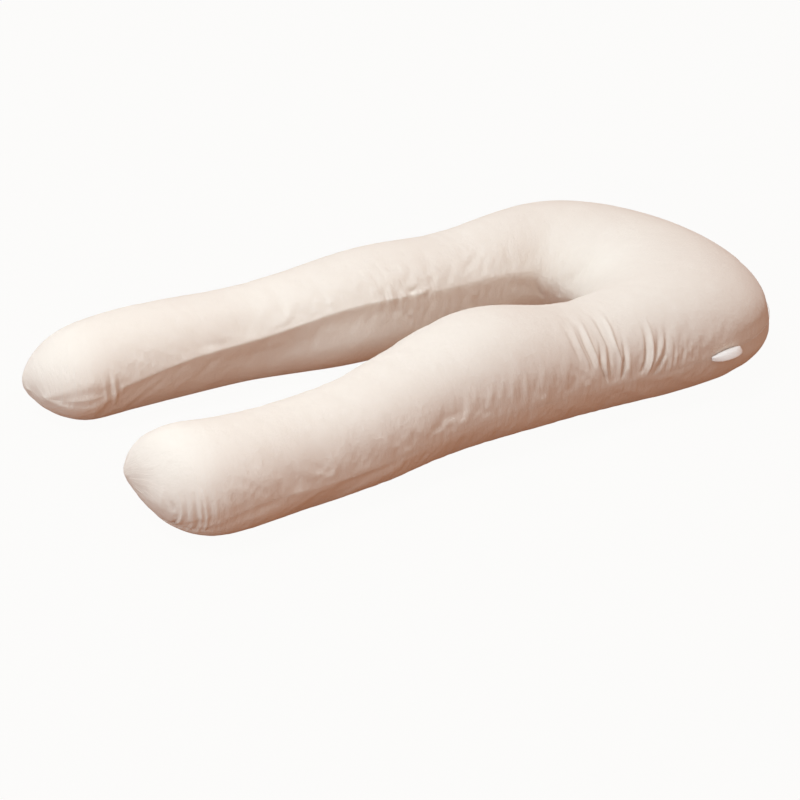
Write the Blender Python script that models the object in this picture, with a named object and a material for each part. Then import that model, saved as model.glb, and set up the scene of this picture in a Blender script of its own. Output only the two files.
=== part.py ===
"""U-shaped body pillow: one filled cloth tube, sewn from an upper and a lower panel, and a blank label in its seam.

Units are metres and +Z is up. The pillow lies on the plane Z = 0, its legs' ends towards -X, its bend towards
+X and its near leg at -Y. The origin is the middle of its outline, on that plane.
"""

from collections import namedtuple
from math import cos, exp, pi, radians, sin, sqrt

import bmesh
import bpy
import numpy as np
from mathutils import Vector

# The origin's place in the table below, whose along values are counted from about the near leg's end.
ORIGIN_ALONG = 0.691
ORIGIN_ACROSS = -0.009

# The tube, from the near leg's end seam round the bend to the far leg's. Each section stands upright on the line
# from a point of the U's outer outline to a point of its inner one. outer_rise and inner_rise: how far round the
# section, in degrees, the seams lie above the widest place.
Section = namedtuple(
    "Section", "outer_along outer_across inner_along inner_across height outer_rise inner_rise"
)
TUBE = (
    Section(0.015, -0.330, 0.000, -0.090, 0.170, -46, 3),
    Section(0.107, -0.358, 0.107, -0.130, 0.164, -3, 6),
    Section(0.250, -0.351, 0.250, -0.138, 0.156, 0, 14),
    Section(0.400, -0.345, 0.400, -0.122, 0.163, 0, 18),
    Section(0.550, -0.328, 0.550, -0.078, 0.184, 0, 22),
    Section(0.705, -0.333, 0.705, -0.058, 0.206, 0, 22),
    Section(0.865, -0.329, 0.855, -0.083, 0.182, 0, 20),
    Section(1.020, -0.344, 0.955, -0.087, 0.188, 3, 18),
    Section(1.225, -0.330, 1.008, -0.064, 0.198, 9, 11),
    Section(1.332, -0.230, 1.032, -0.034, 0.195, 9, 6),
    Section(1.400, 0.000, 1.045, 0.000, 0.190, 8, 4),
    Section(1.335, 0.229, 1.034, 0.033, 0.195, 7, 6),
    Section(1.210, 0.343, 1.010, 0.064, 0.196, 6, 14),
    Section(1.020, 0.343, 0.955, 0.074, 0.194, 4, 25),
    Section(0.865, 0.329, 0.855, 0.072, 0.184, 2, 30),
    Section(0.705, 0.336, 0.705, 0.062, 0.190, 2, 32),
    Section(0.550, 0.330, 0.550, 0.075, 0.178, 2, 35),
    Section(0.400, 0.332, 0.400, 0.115, 0.160, 2, 24),
    Section(0.250, 0.346, 0.250, 0.121, 0.161, 1, 18),
    Section(0.107, 0.341, 0.107, 0.122, 0.157, 0, 6),
    Section(-0.042, 0.309, 0.010, 0.118, 0.142, -3, 3),
)

# How a section lies on the floor.
MIDDLE_SHARE = 0.40  # height of the widest place, as a share of the section's height
FLOOR_EASE = 0.008  # the cloth rolls on to the floor over this height
FULLNESS = 0.92  # below 1, the upper flanks are fuller than an ellipse

# The sewn ends of the legs.
CORNER_RADIUS = 0.078  # rounding of the end's outline, seen from above
END_SWELL = 0.115  # distance over which the filling reaches its full height
END_EDGE_SHARE = 0.05  # thickness left at the end seam, as a share of the section's

# The seam stands slightly proud of the tube.
SEAM_RIDGE = 0.003
SEAM_RIDGE_SPREAD = radians(12)

# The pillow's main folds. run: distance along the tube from the near leg's end. turn: where the fold's middle
# lies round the section, in degrees from the outer seam over the top. reach: half its length, in degrees.
# slant: how far it drifts along the tube, in metres for each 90 degrees. height: above 0 a ridge, below 0 a trough.
Fold = namedtuple("Fold", "run turn reach slant height half_width")
FOLDS = (
    Fold(0.023, -4, 34, 0.000, 0.0030, 0.0060),  # puckers of the near leg's end
    Fold(0.040, -2, 30, 0.000, 0.0030, 0.0060),
    Fold(0.058, -2, 28, 0.000, 0.0025, 0.0065),
    Fold(0.665, 30, 24, 0.100, 0.0025, 0.0110),  # soft ripples up the near leg
    Fold(0.727, 30, 28, 0.080, 0.0030, 0.0110),
    Fold(0.820, 48, 36, 0.008, 0.0035, 0.0095),  # the sharper folds where the near leg meets the bend
    Fold(0.843, 46, 28, 0.030, 0.0035, 0.0070),
    Fold(0.856, 30, 24, 0.020, -0.0040, 0.0060),
    Fold(0.888, 48, 36, 0.020, 0.0050, 0.0095),
    Fold(0.904, 28, 26, 0.050, -0.0040, 0.0070),
    Fold(0.940, 30, 32, 0.050, -0.0045, 0.0065),
    Fold(0.952, 22, 32, 0.050, 0.0050, 0.0075),
    Fold(0.966, 24, 26, 0.050, -0.0035, 0.0065),
    Fold(2.010, 138, 26, -0.030, -0.0050, 0.0140),  # the gather inside the far leg
    Fold(2.604, 170, 24, 0.000, 0.0030, 0.0070),  # a pleat at the far leg's end
)

# Spacing of the mesh's rings and of its points.
PLAIN_STEP = 0.036  # between rings where there is no fold, along the outer seam
FOLD_STEPS = (-1.0, -0.5, 0.0, 0.5, 1.0)  # rings laid across each fold, in half widths
LEAST_STEP = 0.005
END_STEPS = 7
PANEL_STEPS = 16

# The folded label in the outer seam of the bend.
LABEL_RUN = 1.054
LABEL_LENGTH = 0.070  # along the seam
LABEL_DEPTH = 0.024
LABEL_THICKNESS = 0.0024
LABEL_DROOP = 0.006
LABEL_STEPS = 6
GAP = 0.0003  # between the label and the cloth it is sewn to

IVORY = (0.80, 0.70, 0.60)
WHITE = (0.86, 0.85, 0.83)
CLOTH_ROUGHNESS = 0.85


def clear_scene():
    for obj in list(bpy.data.objects):
        bpy.data.objects.remove(obj)


def cloth_material(name, colour):
    material = bpy.data.materials.new(name)
    material.use_nodes = True
    shader = material.node_tree.nodes["Principled BSDF"]
    shader.inputs["Base Color"].default_value = (*colour, 1)
    shader.inputs["Roughness"].default_value = CLOTH_ROUGHNESS
    shader.inputs["Metallic"].default_value = 0
    return material


def spline(places, values):
    """A natural cubic spline through the values at these places. Returns a function of the place."""
    places, values = np.array(places, float), np.array(values, float)
    gaps, slopes = np.diff(places), np.diff(values) / np.diff(places)
    system = np.eye(len(places))
    right = np.zeros(len(places))
    for i in range(1, len(places) - 1):
        system[i, i - 1 : i + 2] = gaps[i - 1], 2 * (gaps[i - 1] + gaps[i]), gaps[i]
        right[i] = 6 * (slopes[i] - slopes[i - 1])
    bends = np.linalg.solve(system, right)

    def value(place):
        i = min(max(int(np.searchsorted(places, place)) - 1, 0), len(gaps) - 1)
        before, after = place - places[i], places[i + 1] - place
        return (
            (bends[i] * after**3 + bends[i + 1] * before**3) / (6 * gaps[i])
            + (values[i] / gaps[i] - bends[i] * gaps[i] / 6) * after
            + (values[i + 1] / gaps[i] - bends[i + 1] * gaps[i] / 6) * before
        )

    return value


class Tube:
    """The pillow's tube as smooth functions of the run, the distance along it from the near leg's end seam."""

    def __init__(self):
        middles = [
            Vector((s.outer_along + s.inner_along, s.outer_across + s.inner_across)) / 2 for s in TUBE
        ]
        runs = [0.0]
        for a, b in zip(middles, middles[1:]):
            runs.append(runs[-1] + (b - a).length)
        self.length = runs[-1]
        for name in Section._fields:
            setattr(self, name, spline(runs, [getattr(s, name) for s in TUBE]))

    def frame(self, run):
        """The section's middle on the floor, the level direction to its outer side, and half its width."""
        origin = Vector((ORIGIN_ALONG, ORIGIN_ACROSS, 0))
        outer = Vector((self.outer_along(run), self.outer_across(run), 0)) - origin
        inner = Vector((self.inner_along(run), self.inner_across(run), 0)) - origin
        across = outer - inner
        return (outer + inner) / 2, across.normalized(), across.length / 2

    def end_shares(self, run):
        """The shares of the full width and height that are left near the end seam of a leg."""
        from_end = min(run, self.length - run)
        half_width = self.frame(run)[2]
        width_share = height_share = 1.0
        if from_end < CORNER_RADIUS:
            lost = CORNER_RADIUS - sqrt(CORNER_RADIUS**2 - (CORNER_RADIUS - from_end) ** 2)
            width_share = 1 - lost / half_width
        if from_end < END_SWELL:
            swell = sqrt(1 - (1 - from_end / END_SWELL) ** 2)
            height_share = END_EDGE_SHARE + (1 - END_EDGE_SHARE) * swell
        return width_share, height_share

    def section_point(self, run, angle):
        """(outward, up) of the smooth cloth at this angle round the section, from the outer side over the top."""
        width_share, height_share = self.end_shares(run)
        middle = MIDDLE_SHARE * self.height(run)
        level = cos(angle)
        if sin(angle) >= 0:
            swell = self.height(run) - middle
            fullness = FULLNESS
        else:
            swell = middle + 2 * FLOOR_EASE
            fullness = 1
        outward = width_share * self.frame(run)[2] * abs(level) ** fullness * (1 if level > 0 else -1)
        return outward, on_floor(middle + height_share * swell * sin(angle))

    def point(self, run, angle):
        """A point of the pillow's surface, with its seam ridge and folds."""
        here, out, _ = self.frame(run)
        outward, up = self.section_point(run, angle)
        nudge = 0.01
        before, after = self.section_point(run, angle - nudge), self.section_point(run, angle + nudge)
        normal = Vector((after[1] - before[1], before[0] - after[0]))
        if normal.length > 0:
            normal.normalize()
        proud = self.seam_ridge(run, angle) + fold_height(run, angle)
        surface = here + out * (outward + proud * normal.x)
        surface.z = max(up + proud * normal.y, 0.0)
        return surface

    def seam_angles(self, run):
        return radians(self.outer_rise(run)), pi - radians(self.inner_rise(run))

    def outer_seam(self, run):
        """A point of the seam along the outer side."""
        return self.point(run, self.seam_angles(run)[0])

    def outer_stretch(self, run):
        """How much longer the outer seam is here than the tube's middle line."""
        nudge = 0.01
        return (self.outer_seam(run + nudge) - self.outer_seam(run - nudge)).length / (2 * nudge)

    def seam_ridge(self, run, angle):
        height_share = self.end_shares(run)[1]
        nearest = min(abs(turn_between(angle, seam)) for seam in self.seam_angles(run))
        return SEAM_RIDGE * height_share * exp(-((nearest / SEAM_RIDGE_SPREAD) ** 2))

    def ring(self, run):
        """The points round the tube at this run: over the upper panel from seam to seam, and back under."""
        outer, inner = self.seam_angles(run)
        upper = [outer + (inner - outer) * i / PANEL_STEPS for i in range(PANEL_STEPS)]
        lower = [inner + (2 * pi + outer - inner) * i / PANEL_STEPS for i in range(PANEL_STEPS)]
        return [self.point(run, angle) for angle in upper + lower]


def turn_between(a, b):
    """The smaller angle between two directions."""
    return (a - b + pi) % (2 * pi) - pi


def on_floor(up):
    """Eases a height on to the floor, so that the cloth below rolls flat."""
    if up >= FLOOR_EASE:
        return up
    if up <= -FLOOR_EASE:
        return 0.0
    return (up + FLOOR_EASE) ** 2 / (4 * FLOOR_EASE)


def fold_height(run, angle):
    """How far the folds lift the cloth here."""
    lift = 0.0
    for fold in FOLDS:
        turn = turn_between(angle, radians(fold.turn))
        reach = turn / radians(fold.reach)
        if abs(reach) < 1:
            side = (run - fold.run - fold.slant * turn / (pi / 2)) / fold.half_width
            lift += fold.height * (1 - reach**2) ** 2 * exp(-(side**2))
    return lift


def ring_runs(tube, extra):
    """Where the rings lie: evenly along the plain tube, closer over the ends and folds, and at the extra runs."""
    wanted = []
    run = END_SWELL
    while run < tube.length - END_SWELL:
        wanted.append(run)
        run += PLAIN_STEP / max(tube.outer_stretch(run), 1)
    for i in range(END_STEPS):
        from_end = END_SWELL * (i / END_STEPS) ** 2
        wanted += [from_end, tube.length - from_end]
    for fold in FOLDS:
        wanted += [fold.run + step * fold.half_width for step in FOLD_STEPS]
    runs = [0.0, tube.length, *extra]
    for run in sorted(wanted):
        if 0 < run < tube.length and all(abs(run - kept) >= LEAST_STEP for kept in runs):
            runs.append(run)
    return sorted(runs)


def label_runs(tube):
    """Where the label's points lie along its length."""
    reach = LABEL_LENGTH / 2 / tube.outer_stretch(LABEL_RUN)
    return [LABEL_RUN + reach * (2 * i / LABEL_STEPS - 1) for i in range(LABEL_STEPS + 1)]


def mesh_object(name, points, faces, material):
    mesh = bpy.data.meshes.new(name)
    shape = bmesh.new()
    corners = [shape.verts.new(p) for p in points]
    for face in faces:
        shape.faces.new([corners[i] for i in face])
    bmesh.ops.recalc_face_normals(shape, faces=shape.faces)
    shape.to_mesh(mesh)
    shape.free()
    mesh.shade_smooth()
    mesh.materials.append(material)
    obj = bpy.data.objects.new(name, mesh)
    bpy.context.scene.collection.objects.link(obj)
    return obj


def make_pillow(tube, material):
    """The filled tube: rings joined side by side, and each end closed along its end seam."""
    runs = ring_runs(tube, label_runs(tube))
    round_count = 2 * PANEL_STEPS
    points = [point for run in runs for point in tube.ring(run)]
    faces = []
    for ring in range(len(runs) - 1):
        for i in range(round_count):
            j = (i + 1) % round_count
            this, following = ring * round_count, (ring + 1) * round_count
            faces.append((this + i, this + j, following + j, following + i))
    for first in (0, (len(runs) - 1) * round_count):
        for i in range(PANEL_STEPS):
            upper = (first + i, first + i + 1)
            lower = (first + (round_count - i - 1) % round_count, first + (round_count - i) % round_count)
            faces.append(tuple(dict.fromkeys(upper + lower)))
    return mesh_object("pillow", points, faces, material)


def make_label(tube, material):
    """A tape folded in two along its outer edge, its raw edges sewn into the outer seam of the bend."""
    depth_steps = 4
    half = LABEL_THICKNESS / 2
    profile = [(depth, 1) for depth in range(depth_steps + 1)] + [(depth, -1) for depth in range(depth_steps, -1, -1)]
    points = []
    for run in label_runs(tube):
        out = tube.frame(run)[1]
        root = tube.outer_seam(run) + out * GAP
        for depth, side in profile:
            share = depth / depth_steps
            swell = half * (0.6 + 0.8 * sin(pi * share)) if depth < depth_steps else half * 0.5
            points.append(root + out * LABEL_DEPTH * share + Vector((0, 0, side * swell - LABEL_DROOP * share**2)))
    count = len(profile)
    faces = []
    for step in range(LABEL_STEPS):
        for i in range(count):
            j = (i + 1) % count
            this, following = step * count, (step + 1) * count
            faces.append((this + i, this + j, following + j, following + i))
    faces += [tuple(range(count)), tuple(LABEL_STEPS * count + i for i in range(count))]
    return mesh_object("label", points, faces, material)


def main():
    clear_scene()
    tube = Tube()
    make_pillow(tube, cloth_material("ivory_cloth", IVORY))
    make_label(tube, cloth_material("white_tape", WHITE))


main()
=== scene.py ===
"""U-shaped body pillow: the looks of its cotton cover, sewn seam and blank label, and a plain pale stage.

Units are metres and +Z is up. The legs' ends point towards -X, the bend towards +X, and the near leg lies at -Y.
The tube and its seam are worked out from the same table as the construction model's.
"""

import bpy
import numpy as np
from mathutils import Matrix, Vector


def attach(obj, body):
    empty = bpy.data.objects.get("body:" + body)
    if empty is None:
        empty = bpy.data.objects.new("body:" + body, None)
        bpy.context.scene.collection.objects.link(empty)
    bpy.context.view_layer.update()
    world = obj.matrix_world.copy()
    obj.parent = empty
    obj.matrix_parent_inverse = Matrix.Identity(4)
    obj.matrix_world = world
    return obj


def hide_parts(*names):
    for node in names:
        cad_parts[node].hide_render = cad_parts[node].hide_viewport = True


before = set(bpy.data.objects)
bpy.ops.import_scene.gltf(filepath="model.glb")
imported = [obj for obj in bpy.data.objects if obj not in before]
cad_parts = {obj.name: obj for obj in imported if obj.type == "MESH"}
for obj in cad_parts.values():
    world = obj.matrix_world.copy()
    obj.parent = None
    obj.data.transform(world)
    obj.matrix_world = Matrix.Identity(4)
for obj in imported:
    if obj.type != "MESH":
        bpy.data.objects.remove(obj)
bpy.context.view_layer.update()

bl_info = {
    "name": "U-Shaped Body Pillow",
    "version": (1, 0, 0),
    "blender": (4, 5, 0),
    "location": "3D View > Sidebar > Body Pillow",
    "description": "Makes the cover, seam and label of a U-shaped body pillow, and a plain stage",
    "category": "Add Mesh",
}

# --- The filled tube ---

ORIGIN = (0.691, -0.009)  # the origin's place in the table, along and across

# The tube, from the near leg's end seam round the bend to the far leg's. Each section stands upright on the line
# from a point of the U's outer outline to a point of its inner one. outer_rise and inner_rise: how far round the
# section, in degrees, the seams lie above the widest place.
TUBE_COLUMNS = ("outer_along", "outer_across", "inner_along", "inner_across", "height", "outer_rise", "inner_rise")
TUBE = (
    (0.015, -0.330, 0.000, -0.090, 0.170, -46, 3),
    (0.107, -0.358, 0.107, -0.130, 0.164, -3, 6),
    (0.250, -0.351, 0.250, -0.138, 0.156, 0, 14),
    (0.400, -0.345, 0.400, -0.122, 0.163, 0, 18),
    (0.550, -0.328, 0.550, -0.078, 0.184, 0, 22),
    (0.705, -0.333, 0.705, -0.058, 0.206, 0, 22),
    (0.865, -0.329, 0.855, -0.083, 0.182, 0, 20),
    (1.020, -0.344, 0.955, -0.087, 0.188, 3, 18),
    (1.225, -0.330, 1.008, -0.064, 0.198, 9, 11),
    (1.332, -0.230, 1.032, -0.034, 0.195, 9, 6),
    (1.400, 0.000, 1.045, 0.000, 0.190, 8, 4),
    (1.335, 0.229, 1.034, 0.033, 0.195, 7, 6),
    (1.210, 0.343, 1.010, 0.064, 0.196, 6, 14),
    (1.020, 0.343, 0.955, 0.074, 0.194, 4, 25),
    (0.865, 0.329, 0.855, 0.072, 0.184, 2, 30),
    (0.705, 0.336, 0.705, 0.062, 0.190, 2, 32),
    (0.550, 0.330, 0.550, 0.075, 0.178, 2, 35),
    (0.400, 0.332, 0.400, 0.115, 0.160, 2, 24),
    (0.250, 0.346, 0.250, 0.121, 0.161, 1, 18),
    (0.107, 0.341, 0.107, 0.122, 0.157, 0, 6),
    (-0.042, 0.309, 0.010, 0.118, 0.142, -3, 3),
)

# How a section lies on the floor.
MIDDLE_SHARE = 0.40  # height of the widest place, as a share of the section's height
FLOOR_EASE = 0.008  # the cloth rolls on to the floor over this height
FULLNESS = 0.92  # below 1, the upper flanks are fuller than an ellipse

# The sewn ends of the legs.
CORNER_RADIUS = 0.078  # rounding of the end's outline, seen from above
END_SWELL = 0.115  # distance over which the filling reaches its full height
END_EDGE_SHARE = 0.02  # thickness left at the end seam, as a share of the section's
NEAR_CORNER_SAG = 30  # degrees that the seam hangs lower at the near leg's outer corner
NEAR_CORNER_REACH = 0.022  # distance over which it rises again

# The seam stands slightly proud of the tube, as an edge with a fine groove where the two panels meet.
SEAM_RIDGE_SPREAD = np.radians(5)
GROOVE_HALF_WIDTH = 0.0012
GROOVE_END_SHARE = 1 / 3  # the groove is shallower where the tube is thinner than this share of its height
# How clear the edge is, as (run, share), on the outer and the inner side.
SEAM_EDGES = (
    ((0.0, 0.8), (0.33, 1.0), (0.50, 0.4), (1.90, 0.4), (2.20, 0.8)),
    ((0.0, 0.5), (1.45, 0.2), (1.95, 0.2), (2.15, 1.0)),
)

# Under the far leg's inner seam the cloth is drawn in, so that the seam overhangs: (run, how far).
INNER_TUCK = (
    (1.45, 0.0), (1.60, 0.003), (1.80, 0.006), (1.95, 0.009), (2.05, 0.013),
    (2.25, 0.013), (2.45, 0.009), (2.60, 0.003), (2.70, 0.0),
)
TUCK_REACH = 0.044  # it is drawn in the most at this distance from the seam

RELIEF_RISE = 0.012  # all relief fades towards the floor over this height


def from_table(table, places):
    """The values at these places, between the (place, value) pairs of a table."""
    return np.interp(places, *zip(*table))


def seam_edge(cover, side, runs):
    """How far the outer (0) or the inner (1) seam stands proud of the tube."""
    return cover.seam_ridge * from_table(SEAM_EDGES[side], runs)


def running_total(steps):
    """How far each place lies from the first, from the steps between them along the last axis."""
    return np.cumsum(np.insert(steps, 0, 0, axis=-1), axis=-1)


def total_under(values, places):
    """The area under the values up to each place."""
    return running_total((values[1:] + values[:-1]) / 2 * np.diff(places))


def natural_spline(places, values):
    """A natural cubic spline through the values at these places. Returns a function of an array of places."""
    gaps, slopes = np.diff(places), np.diff(values) / np.diff(places)
    system = np.eye(len(places))
    right = np.zeros(len(places))
    for i in range(1, len(places) - 1):
        system[i, i - 1 : i + 2] = gaps[i - 1], 2 * (gaps[i - 1] + gaps[i]), gaps[i]
        right[i] = 6 * (slopes[i] - slopes[i - 1])
    bends = np.linalg.solve(system, right)

    def value(at):
        i = np.clip(np.searchsorted(places, at) - 1, 0, len(gaps) - 1)
        before, after = at - places[i], places[i + 1] - at
        return (
            (bends[i] * after**3 + bends[i + 1] * before**3) / (6 * gaps[i])
            + (values[i] / gaps[i] - bends[i] * gaps[i] / 6) * after
            + (values[i + 1] / gaps[i] - bends[i + 1] * gaps[i] / 6) * before
        )

    return value


class Tube:
    """The pillow's tube as smooth functions of the run, the distance along it from the near leg's end seam."""

    def __init__(self):
        table = np.array(TUBE, float)
        table[:, [0, 2]] -= ORIGIN[0]
        table[:, [1, 3]] -= ORIGIN[1]
        middles = (table[:, 0:2] + table[:, 2:4]) / 2
        runs = running_total(np.linalg.norm(np.diff(middles, axis=0), axis=1))
        self.length = runs[-1]
        for column, name in enumerate(TUBE_COLUMNS):
            setattr(self, name, natural_spline(runs, table[:, column]))

    def frame(self, runs):
        """The sections' middles, level directions to their outer side, and half widths, all seen from above."""
        outer = np.stack([self.outer_along(runs), self.outer_across(runs)], -1)
        inner = np.stack([self.inner_along(runs), self.inner_across(runs)], -1)
        width = np.linalg.norm(outer - inner, axis=-1)
        return (outer + inner) / 2, (outer - inner) / width[..., None], width / 2

    def from_end(self, runs):
        return np.minimum(runs, self.length - runs)

    def end_shares(self, runs):
        """The shares of the full width and height that are left near the end seam of a leg."""
        from_end = self.from_end(runs)
        inside = np.clip(1 - from_end / CORNER_RADIUS, 0, 1)
        lost = CORNER_RADIUS * (1 - np.sqrt(1 - inside**2))
        swell = np.sqrt(1 - np.clip(1 - from_end / END_SWELL, 0, 1) ** 2)
        return 1 - lost / self.frame(runs)[2], END_EDGE_SHARE + (1 - END_EDGE_SHARE) * swell

    def seam_angles(self, runs):
        """How far round the section the outer and the inner seam lie."""
        sag = NEAR_CORNER_SAG * bell(runs / NEAR_CORNER_REACH)
        return np.radians(self.outer_rise(runs) - sag), np.pi - np.radians(self.inner_rise(runs))

    def angles(self, runs, shares):
        """The places round each section: over the upper panel from seam to seam, and back under."""
        outer, inner = (side[:, None] for side in self.seam_angles(runs))
        upper = outer + (inner - outer) * shares
        lower = inner + (2 * np.pi + outer - inner) * shares
        return np.concatenate([upper, lower], axis=1)

    def surface(self, runs, angles):
        """Points of the smooth filled tube: a row for each run, with its own angles."""
        here, out, half_width = self.frame(runs)
        width_share, height_share = self.end_shares(runs)
        height = self.height(runs)
        middle = MIDDLE_SHARE * height
        level, rise = np.cos(angles), np.sin(angles)
        swell = np.where(rise >= 0, (height - middle)[:, None], (middle + 2 * FLOOR_EASE)[:, None])
        fullness = np.where(rise >= 0, FULLNESS, 1.0)
        outward = (width_share * half_width)[:, None] * np.abs(level) ** fullness * np.sign(level)
        points = np.empty(angles.shape + (3,))
        points[..., :2] = here[:, None] + out[:, None] * outward[..., None]
        points[..., 2] = on_floor(middle[:, None] + height_share[:, None] * swell * rise)
        return points


def on_floor(up):
    """Eases a height on to the floor, so that the cloth below rolls flat."""
    eased = (up + FLOOR_EASE) ** 2 / (4 * FLOOR_EASE)
    return np.where(up >= FLOOR_EASE, up, np.where(up <= -FLOOR_EASE, 0, eased))


def turn_between(a, b):
    """The smaller angle between two directions, with its sign."""
    return (a - b + np.pi) % (2 * np.pi) - np.pi


def bell(x):
    """A bell curve, 1 at 0."""
    return np.exp(-(x**2))


def smooth_step(x):
    """Rises smoothly from 0 to 1 as x does."""
    x = np.clip(x, 0, 1)
    return x * x * (3 - 2 * x)


def outward_normals(points):
    """Unit normals of a closed grid of points, a row for each ring."""
    along = np.gradient(points, axis=0)
    around = np.roll(points, -1, axis=1) - np.roll(points, 1, axis=1)
    normals = np.cross(along, around)
    return normals / np.maximum(np.linalg.norm(normals, axis=-1, keepdims=True), 1e-12)


def ring_runs(tube, count, step_at):
    """Places for this many rings, closer together where step_at asks for shorter steps."""
    fine = np.linspace(0, tube.length, RUN_SAMPLES)
    reached = total_under(1 / step_at(fine), fine)
    return np.interp(np.linspace(0, reached[-1], count), reached, fine)


def outer_stretch(tube, runs):
    """How much longer the outer outline is here than the tube's middle line."""
    outer = np.stack([tube.outer_along(runs), tube.outer_across(runs)], -1)
    return np.maximum(np.linalg.norm(np.gradient(outer, axis=0), axis=1) / np.gradient(runs), 1)


# --- Creases ---

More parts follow.
